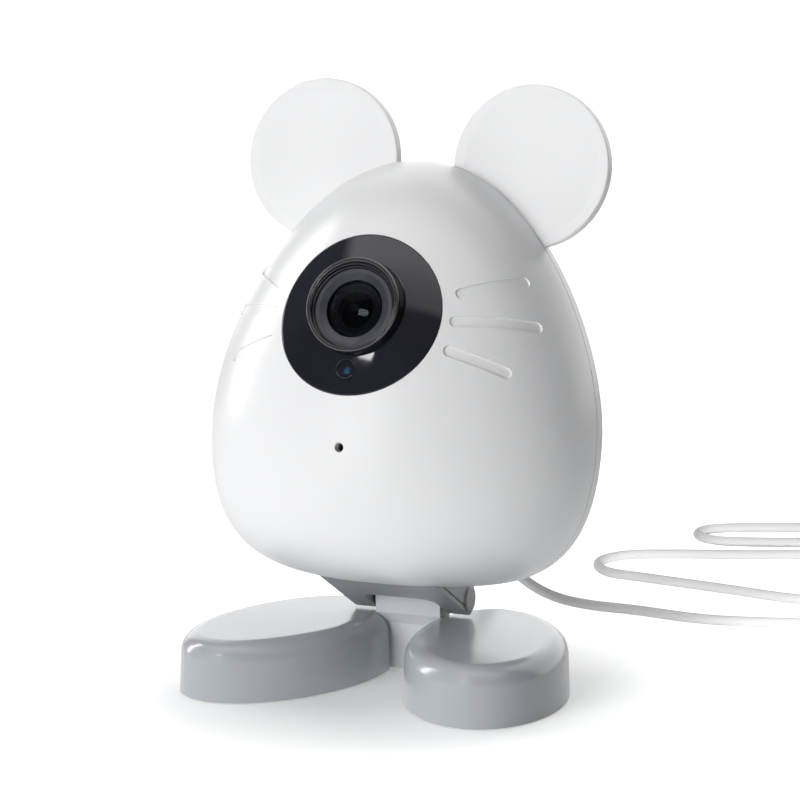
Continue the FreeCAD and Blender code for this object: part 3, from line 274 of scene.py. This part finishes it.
def window_rim():
    """Middle, unit normal and radius of the window's front edge."""
    points = [LENS_FRAME.inverted() @ vertex.co for vertex in nodes["sensor_window"].data.vertices]
    middle = sum(points, Vector()) / len(points)
    radius = max(point.x for point in points)
    ends = []
    for way in (Vector((1, 0, 0)), Vector((-1, 0, 0)), Vector((0, 1, 0)), Vector((0, -1, 0))):
        edge = [point for point in points if (point - middle).dot(way) > EDGE_SHARE * radius]
        ends.append(max(edge, key=lambda point: point.z))
    right, left, top, low = ends
    normal = (right - left).cross(top - low).normalized()
    return (right + left + top + low) / 4, normal, radius


def make_window_rim(made):
    place, normal, radius = window_rim()
    bm = bmesh.new()
    circle = bmesh.ops.create_circle(bm, segments=WIRE_SEGMENTS, radius=RIM_WIRE)["verts"]
    bmesh.ops.rotate(bm, verts=circle, cent=(0, 0, 0), matrix=Matrix.Rotation(math.pi / 2, 3, "X"))
    bmesh.ops.translate(bm, verts=circle, vec=(radius, 0, 0))
    spin_round(bm, RIM_SEGMENTS)
    turn = Vector((0, 0, 1)).rotation_difference(normal).to_matrix().to_4x4()
    bmesh.ops.transform(bm, verts=bm.verts, matrix=LENS_FRAME @ Matrix.Translation(place) @ turn)
    rim = finished(bm, "window_rim", made["bezel_black"])
    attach(rim, "head")


def map_range(tree, span, levels):
    """Node that maps the two ends of a span to two levels."""
    node = tree.nodes.new("ShaderNodeMapRange")
    node.inputs["From Min"].default_value, node.inputs["From Max"].default_value = span
    node.inputs["To Min"].default_value, node.inputs["To Max"].default_value = levels
    return node


# ---- materials: all patterns run on Object coordinates, which are metres from the origin ----
NOISE_SPAN = (0.3, 0.7)  # where most of a noise's values lie
PLASTIC_IOR = 1.55
COLLAR_IOR = 1.95  # a brighter gloss


class Finish:
    """A principled material and the few nodes that vary it over the surface."""

    def __init__(self, name, color, roughness, metallic=0.0):
        self.name = name
        self.material = bpy.data.materials.new(name)
        self.material.use_nodes = True
        self.tree = self.material.node_tree
        self.shader = self.tree.nodes["Principled BSDF"]
        self.color = color
        self.shader.inputs["Base Color"].default_value = (*color, 1)
        self.shader.inputs["Roughness"].default_value = roughness
        self.shader.inputs["Metallic"].default_value = metallic
        self.roughness = roughness
        self.place = self.tree.nodes.new("ShaderNodeTexCoord").outputs["Object"]
        self.heights = []

    def set(self, **values):
        for key, value in values.items():
            self.shader.inputs[key.replace("_", " ")].default_value = value
        return self

    def noise(self, scale, detail, stretch=(1, 1, 1)):
        mapping = self.tree.nodes.new("ShaderNodeMapping")
        mapping.inputs["Scale"].default_value = stretch
        node = self.tree.nodes.new("ShaderNodeTexNoise")
        node.inputs["Scale"].default_value = scale
        node.inputs["Detail"].default_value = detail
        self.tree.links.new(self.place, mapping.inputs["Vector"])
        self.tree.links.new(mapping.outputs["Vector"], node.inputs["Vector"])
        return node.outputs["Fac"]

    def ramp(self, factor, first, last, low=0.35, high=0.65):
        """Colour between two ends, over the middle part of a factor."""
        node = self.tree.nodes.new("ShaderNodeValToRGB")
        node.color_ramp.elements[0].position = low
        node.color_ramp.elements[0].color = (*first, 1)
        node.color_ramp.elements[1].position = high
        node.color_ramp.elements[1].color = (*last, 1)
        self.tree.links.new(factor, node.inputs["Fac"])
        return node.outputs["Color"]

    def span(self, factor, low, high):
        """Value between two ends, over the middle part of a noise factor."""
        node = map_range(self.tree, NOISE_SPAN, (low, high))
        self.tree.links.new(factor, node.inputs["Value"])
        return node.outputs["Result"]

    def vary(self, share, scale):
        """Slow drift of the colour."""
        first = [channel * (1 - share) for channel in self.color]
        last = [min(1, channel * (1 + share)) for channel in self.color]
        self.tree.links.new(self.ramp(self.noise(scale, 1), first, last), self.shader.inputs["Base Color"])
        return self

    def wear(self, share, scale, stretch=(1, 1, 1)):
        """Patches that are glossier or duller."""
        factor = self.noise(scale, 1, stretch)
        value = self.span(factor, self.roughness * (1 - share), self.roughness * (1 + share))
        self.tree.links.new(value, self.shader.inputs["Roughness"])
        return self

    def bump(self, factor, depth):
        """Relief of a factor, with its depth in metres."""
        node = self.tree.nodes.new("ShaderNodeBump")
        node.inputs["Distance"].default_value = depth
        self.tree.links.new(factor, node.inputs["Height"])
        if self.heights:
            self.tree.links.new(self.heights[-1], node.inputs["Normal"])
        self.heights.append(node.outputs["Normal"])
        self.tree.links.new(node.outputs["Normal"], self.shader.inputs["Normal"])
        return self

    def grain(self, scale, depth, stretch=(1, 1, 1)):
        """Fine moulded or brushed texture."""
        return self.bump(self.noise(scale, 2, stretch), depth)


BOARD_GREEN = (0.012, 0.085, 0.04)
TRACK_GREENS = (0.025, 0.15, 0.07), (0.01, 0.075, 0.035)
TRACK_EDGE = (0.05, 0.09)
TRACK_SCALE = 420
TRACK_DEPTH = 0.03 * MM


def circuit_board():
    """Solder mask with a net of fine tracks."""
    finish = Finish("circuit_board", BOARD_GREEN, 0.38)
    cells = finish.tree.nodes.new("ShaderNodeTexVoronoi")
    cells.feature = "DISTANCE_TO_EDGE"
    cells.inputs["Scale"].default_value = TRACK_SCALE
    finish.tree.links.new(finish.place, cells.inputs["Vector"])
    color = finish.ramp(cells.outputs["Distance"], *TRACK_GREENS, *TRACK_EDGE)
    finish.tree.links.new(color, finish.shader.inputs["Base Color"])
    return finish.bump(cells.outputs["Distance"], TRACK_DEPTH).wear(0.15, 300).material


GLASS_TINT = (0.17, 0.165, 0.21)
GLASS_IOR = 1.19  # coated, so it mirrors less than plain glass
VIOLET_CAST, GREEN_CAST = (0.75, 0.45, 0.95), (0.5, 0.9, 0.75)
CAST_SCALE = 140


def optical_glass():
    """Coated glass: dark to look into, with a violet to green cast in its reflections."""
    finish = Finish("optical_glass", GLASS_TINT, 0.0).set(Transmission_Weight=1.0, IOR=GLASS_IOR)
    cast = finish.ramp(finish.noise(CAST_SCALE, 1), VIOLET_CAST, GREEN_CAST)
    finish.tree.links.new(cast, finish.shader.inputs["Specular Tint"])
    return finish.material


# painted reflection: the window's dark colour turns blue round a point off its middle, a painted glint
WINDOW_DARK, WINDOW_PAINTED_GLINT = (0.003, 0.004, 0.01), (0.02, 0.085, 0.18)
PAINTED_GLINT_OFFSET = Vector((0.1, -0.3, 0))  # from the window's middle, in window radii
PAINTED_GLINT_FADE = (0.5, 0.97)
PAINTED_GLINT_WAVES = 900


def dark_window():
    """Tinted window, with a painted blue glint in its colour, round a point in its lower half."""
    finish = Finish("dark_window", WINDOW_DARK, 0.03).set(IOR=PLASTIC_IOR)
    place, _, radius = window_rim()
    # middle of the painted blue glint
    painted_glint_middle = LENS_FRAME @ (place + PAINTED_GLINT_OFFSET * radius)
    away = finish.tree.nodes.new("ShaderNodeVectorMath")
    away.operation = "DISTANCE"
    away.inputs[1].default_value = painted_glint_middle
    finish.tree.links.new(finish.place, away.inputs[0])
    wavy = finish.tree.nodes.new("ShaderNodeMath")
    wavy.operation = "MULTIPLY_ADD"
    wavy.inputs[1].default_value = 1 / radius
    finish.tree.links.new(away.outputs["Value"], wavy.inputs[0])
    finish.tree.links.new(finish.noise(PAINTED_GLINT_WAVES, 1), wavy.inputs[2])
    color = finish.ramp(wavy.outputs[0], WINDOW_PAINTED_GLINT, WINDOW_DARK, *PAINTED_GLINT_FADE)
    finish.tree.links.new(color, finish.shader.inputs["Base Color"])
    return finish.material


def plain_finishes():
    """Finishes with no pattern of their own: noise varies the colour, wears the gloss and adds grain."""
    return [
        Finish("shell_white", (0.86, 0.862, 0.868), 0.3).vary(0.004, 9).wear(0.05, 30).grain(2600, 0.000005),
        Finish("bezel_black", (0.005, 0.0055, 0.0125), 0.055).set(IOR=PLASTIC_IOR)
        .vary(0.3, 60).wear(0.35, 130),
        Finish("barrel_black", (0.03, 0.031, 0.042), 0.36)
        .vary(0.12, 300).wear(0.2, 500).grain(5200, 0.00001),
        Finish("collar_black", (0.008, 0.0085, 0.016), 0.1).set(IOR=COLLAR_IOR).vary(0.1, 60).wear(0.1, 60),
        Finish("filter_frame", (0.02, 0.02, 0.022), 0.45).vary(0.1, 300).grain(3000, 0.00001),
        Finish("lamp_lens", (0.03, 0.008, 0.03), 0.05).vary(0.4, 700).wear(0.3, 500),
        Finish("chip_dark", (0.018, 0.018, 0.02), 0.5).vary(0.2, 500).grain(4200, 0.00002),
        Finish("can_metal", (0.62, 0.62, 0.6), 0.32, 1.0)
        .vary(0.05, 200).wear(0.3, 700, (1, 1, 12)).grain(900, 0.00001, (1, 1, 14)),
        Finish("screw_steel", (0.56, 0.57, 0.58), 0.28, 1.0)
        .vary(0.08, 700).wear(0.35, 1200).grain(5000, 0.00001),
        Finish("pin_steel", (0.6, 0.6, 0.61), 0.2, 1.0).vary(0.05, 400).wear(0.3, 900, (14, 1, 1)),
        Finish("soft_rubber", (0.035, 0.036, 0.038), 0.75).vary(0.2, 150).grain(1700, 0.00004),
        Finish("button_grey", (0.3, 0.31, 0.33), 0.42).vary(0.03, 200).grain(2400, 0.00001),
        Finish("antenna_film", (0.4, 0.16, 0.05), 0.3).vary(0.2, 260).wear(0.3, 400).grain(900, 0.00001),
        Finish("ribbon_film", (0.42, 0.2, 0.05), 0.26)
        .vary(0.15, 300).wear(0.3, 300).grain(700, 0.00002, (8, 1, 1)),
        Finish("speaker_black", (0.02, 0.02, 0.021), 0.6).vary(0.2, 240).grain(2000, 0.00003),
        Finish("bracket_grey", (0.34, 0.358, 0.375), 0.38)
        .vary(0.01, 60).wear(0.08, 90).grain(2300, 0.00001),
        Finish("bridge_grey", (0.68, 0.7, 0.72), 0.36).vary(0.008, 60).wear(0.08, 90).grain(2300, 0.000008),
        Finish("foot_grey", (0.43, 0.452, 0.478), 0.21)
        .vary(0.006, 20).wear(0.05, 40).grain(2500, 0.000004),
        Finish("plate_grey", (0.36, 0.375, 0.395), 0.5).vary(0.02, 60).wear(0.1, 160).grain(1500, 0.00003),
        Finish("weight_iron", (0.17, 0.165, 0.16), 0.6, 0.8).vary(0.25, 240).grain(900, 0.0001),
        Finish("plug_white", (0.82, 0.82, 0.825), 0.38)
        .vary(0.01, 100).wear(0.12, 200).grain(2200, 0.000012),
        Finish("cord_white", (0.88, 0.88, 0.885), 0.42)
        .vary(0.015, 90).wear(0.15, 260).grain(1800, 0.000014),
        Finish("tie_black", (0.022, 0.022, 0.024), 0.65).vary(0.25, 500).grain(2600, 0.00006, (1, 6, 1)),
    ]


def make_materials():
    made = {finish.name: finish.material for finish in plain_finishes()}
    made["circuit_board"] = circuit_board()
    made["optical_glass"] = optical_glass()
    made["dark_window"] = dark_window()
    for sub in frame["record"]["subparts"]:
        node = nodes[sub["node"]]
        node.data.materials.clear()
        node.data.materials.append(made[sub["material_slot"]])
    return made


# ---- studio ----
WORLD_TINT = (0.95, 0.975, 1, 1)
WORLD_LEVEL = 0.08  # on dull surfaces
MIRROR_LEVEL = 0.25  # in glossy surfaces
WHITE_LEVEL = 1.1  # what the camera sees behind the object

FLOOR_HALF = 6  # half the floor's side
FLOOR_COLOR = (0.86, 0.865, 0.87, 1)
# how the floor's glow changes between two distances from the middle: as the camera sees it, and
# as all other rays do; the camera's glow is lower near the middle, which paints shade round the object
FLOOR_PAINTED_SHADE_FADE = (0.015, 0.11)
FLOOR_PAINTED_SHADE_LEVELS = (0.17, WHITE_LEVEL)
BOUNCE_FADE = (0.08, 0.6)
BOUNCE_LEVELS = (0.18, 0.016)
FLOOR_MIRRORED = 0.2  # extra level in glossy surfaces

BACKDROP_HALF = 2.2
BACKDROP_PLACE = (0, 1.9, BACKDROP_HALF)
BACKDROP_LEVEL = 1.95

HEAD_AIM = (0, -0.02, 0.085)
LENS_AIM = (0, 0, 0.085)
BODY_AIM = (0, 0, 0.07)
# each lamp's name, place, aim, width and height, radiance; glossy surfaces don't mirror the soft ones
SOFT_LAMPS = [
    ("front_lamp", (-0.3313, -1.3287, 0.3611), BODY_AIM, (0.8, 0.8), 6.8),
    ("side_lamp", (-1.3156, 0, 0.5488), BODY_AIM, (0.9, 0.9), 1.6),
    ("upper_lamp", (-0.45, -0.7794, 1.1425), BODY_AIM, (0.8, 0.8), 0.5),
    ("top_lamp", (0, 0.122, 1.4647), BODY_AIM, (0.8, 0.8), 1.0),
    ("rim_lamp", (0, 0.9899, 1.06), BODY_AIM, (0.8, 0.8), 2.7),
]
# these only make highlights
GLINT_LAMPS = [
    ("spot_lamp", (-0.235, -0.825, 0.645), HEAD_AIM, (0.16, 0.1), 14),
    ("strip_lamp", (-1.29, 0.2, 0.6), LENS_AIM, (0.2, 1.1), 13),
]
# narrow beam on the loops of the cord
BEAM_PLACE = (0.7, -0.5, 0.12)
BEAM_AIM = (0.046, 0.156, 0)
BEAM_ANGLE = 8  # degrees
BEAM_POWER = 24
BEAM_BLEND = 0.25
BEAM_SOFTNESS = 0.02

CARD_PLACE = (0.1, -0.5, 1.2)
CARD_SIZE = (2.28, 1.3)
CARD_LEVEL = 1.85
# the card's share of its level along its width and its height: place, share
CARD_ACROSS = [(0.0, 0.0), (0.16, 1.0)]
CARD_UP = [(0.17, 0.0), (0.24, 0.52), (0.56, 1.0)]


def light_material(name, build):
    material = bpy.data.materials.new(name)
    material.use_nodes = True
    tree = material.node_tree
    tree.nodes.clear()
    out = tree.nodes.new("ShaderNodeOutputMaterial")
    tree.links.new(build(tree), out.inputs["Surface"])
    return material


def floor_surface(tree):
    """White floor that keeps its shadows near the object, with painted shade where its glow is lower near the
    object, and fades to plain white away from it.
    """
    diffuse = tree.nodes.new("ShaderNodeBsdfDiffuse")
    diffuse.inputs["Color"].default_value = FLOOR_COLOR
    glow = tree.nodes.new("ShaderNodeEmission")
    place = tree.nodes.new("ShaderNodeTexCoord")
    reach = tree.nodes.new("ShaderNodeVectorMath")
    reach.operation = "LENGTH"
    # glow the camera sees: low near the object, a painted shade round it, and white further away
    level = map_range(tree, FLOOR_PAINTED_SHADE_FADE, FLOOR_PAINTED_SHADE_LEVELS)
    level.interpolation_type = "SMOOTHSTEP"
    ray = tree.nodes.new("ShaderNodeLightPath")
    seen = tree.nodes.new("ShaderNodeMix")
    bounce = map_range(tree, BOUNCE_FADE, BOUNCE_LEVELS)
    mirror = tree.nodes.new("ShaderNodeMath")
    mirror.operation = "MULTIPLY_ADD"
    mirror.inputs[1].default_value = FLOOR_MIRRORED
    both = tree.nodes.new("ShaderNodeAddShader")
    tree.links.new(place.outputs["Object"], reach.inputs[0])
    tree.links.new(reach.outputs["Value"], level.inputs["Value"])
    tree.links.new(ray.outputs["Is Camera Ray"], seen.inputs[0])
    tree.links.new(reach.outputs["Value"], bounce.inputs["Value"])
    tree.links.new(ray.outputs["Is Glossy Ray"], mirror.inputs[0])
    tree.links.new(bounce.outputs["Result"], mirror.inputs[2])
    tree.links.new(mirror.outputs[0], seen.inputs[2])
    tree.links.new(level.outputs["Result"], seen.inputs[3])
    tree.links.new(seen.outputs[0], glow.inputs["Strength"])
    tree.links.new(diffuse.outputs[0], both.inputs[0])
    tree.links.new(glow.outputs[0], both.inputs[1])
    return both.outputs[0]


def backdrop_surface(tree):
    glow = tree.nodes.new("ShaderNodeEmission")
    glow.inputs["Strength"].default_value = BACKDROP_LEVEL
    return glow.outputs[0]


def add_panel(name, half, place, turn, surface):
    """Square sheet of the studio, turned about X."""
    mesh = bpy.data.meshes.new(name)
    bm = bmesh.new()
    bmesh.ops.create_grid(bm, x_segments=1, y_segments=1, size=half)
    bmesh.ops.rotate(bm, verts=bm.verts, cent=(0, 0, 0), matrix=Matrix.Rotation(turn, 3, "X"))
    bmesh.ops.translate(bm, verts=bm.verts, vec=place)
    bm.to_mesh(mesh)
    bm.free()
    panel = link(name, mesh, light_material(name, surface), smooth=False)
    return panel


def card_surface(tree):
    """Reflector card that dims towards its lower edge and ends softly below and on its left."""
    place = tree.nodes.new("ShaderNodeTexCoord")
    parts = tree.nodes.new("ShaderNodeSeparateXYZ")
    tree.links.new(place.outputs["Object"], parts.inputs[0])
    shares = []
    for axis, size, stops in (("Y", CARD_SIZE[1], CARD_UP), ("X", CARD_SIZE[0], CARD_ACROSS)):
        reach = map_range(tree, (-size / 2, size / 2), (0, 1))
        ramp = tree.nodes.new("ShaderNodeValToRGB")
        ramp.color_ramp.interpolation = "EASE"
        while len(ramp.color_ramp.elements) < len(stops):
            ramp.color_ramp.elements.new(0.5)
        for element, (position, share) in zip(ramp.color_ramp.elements, stops):
            element.position = position
            element.color = (share, share, share, 1)
        tree.links.new(parts.outputs[axis], reach.inputs["Value"])
        tree.links.new(reach.outputs["Result"], ramp.inputs["Fac"])
        shares.append(ramp.outputs["Color"])
    level = tree.nodes.new("ShaderNodeMath")
    level.operation = "MULTIPLY"
    both = tree.nodes.new("ShaderNodeMath")
    both.operation = "MULTIPLY_ADD"
    both.inputs[1].default_value = CARD_LEVEL - MIRROR_LEVEL
    both.inputs[2].default_value = MIRROR_LEVEL
    glow = tree.nodes.new("ShaderNodeEmission")
    tree.links.new(shares[0], level.inputs[0])
    tree.links.new(shares[1], level.inputs[1])
    tree.links.new(level.outputs[0], both.inputs[0])
    tree.links.new(both.outputs[0], glow.inputs["Strength"])
    return glow.outputs[0]


def add_card():
    """Glossy surfaces mirror this card; nothing else sees it."""
    mesh = bpy.data.meshes.new("studio_card")
    bm = bmesh.new()
    bmesh.ops.create_grid(bm, x_segments=1, y_segments=1, size=0.5)
    bmesh.ops.scale(bm, verts=bm.verts, vec=(*CARD_SIZE, 1))
    bm.to_mesh(mesh)
    bm.free()
    card = link("studio_card", mesh, light_material("studio_card", card_surface), smooth=False)
    card.location = CARD_PLACE
    card.rotation_euler = facing(CARD_PLACE, HEAD_AIM)
    card.visible_camera = card.visible_diffuse = card.visible_shadow = False


def place_lamp(data, place, aim):
    lamp = bpy.data.objects.new(data.name, data)
    bpy.context.scene.collection.objects.link(lamp)
    lamp.location = place
    lamp.rotation_euler = facing(place, aim)
    return lamp


def add_lamp(name, place, aim, size, radiance):
    """Rectangular lamp; its power follows from how bright its face is."""
    data = bpy.data.lights.new(name, "AREA")
    data.shape = "RECTANGLE"
    data.size, data.size_y = size
    data.energy = radiance * math.pi * size[0] * size[1]
    return place_lamp(data, place, aim)


def add_beam():
    """Narrow lamp with a soft edge."""
    data = bpy.data.lights.new("cord_lamp", "SPOT")
    data.energy = BEAM_POWER
    data.spot_size = math.radians(BEAM_ANGLE)
    data.spot_blend = BEAM_BLEND
    data.shadow_soft_size = BEAM_SOFTNESS
    place_lamp(data, BEAM_PLACE, BEAM_AIM).visible_glossy = False


def add_world():
    world = bpy.data.worlds.new("studio")
    bpy.context.scene.world = world
    world.use_nodes = True
    tree = world.node_tree
    background = tree.nodes["Background"]
    background.inputs["Color"].default_value = WORLD_TINT
    ray = tree.nodes.new("ShaderNodeLightPath")
    level = map_range(tree, (0, 1), (0, WHITE_LEVEL))
    mirror = map_range(tree, (0, 1), (WORLD_LEVEL, MIRROR_LEVEL))
    tree.links.new(ray.outputs["Is Glossy Ray"], mirror.inputs["Value"])
    tree.links.new(mirror.outputs["Result"], level.inputs["To Min"])
    tree.links.new(ray.outputs["Is Camera Ray"], level.inputs["Value"])
    tree.links.new(level.outputs["Result"], background.inputs["Strength"])
    bpy.context.scene.view_settings.view_transform = "Standard"


def add_studio():
    add_panel("studio_floor", FLOOR_HALF, (0, 0, 0), 0, floor_surface)
    backdrop = add_panel("studio_backdrop", BACKDROP_HALF, BACKDROP_PLACE, math.radians(90), backdrop_surface)
    backdrop.visible_diffuse = False
    add_world()
    for lamp in SOFT_LAMPS:
        add_lamp(*lamp).visible_glossy = False
    for lamp in GLINT_LAMPS:
        add_lamp(*lamp).visible_diffuse = False
    add_beam()
    add_card()


# ---- the whole picture ----
make_cord()
made = make_materials()
make_collar(made)
make_window_rim(made)
free_glass()
add_studio()
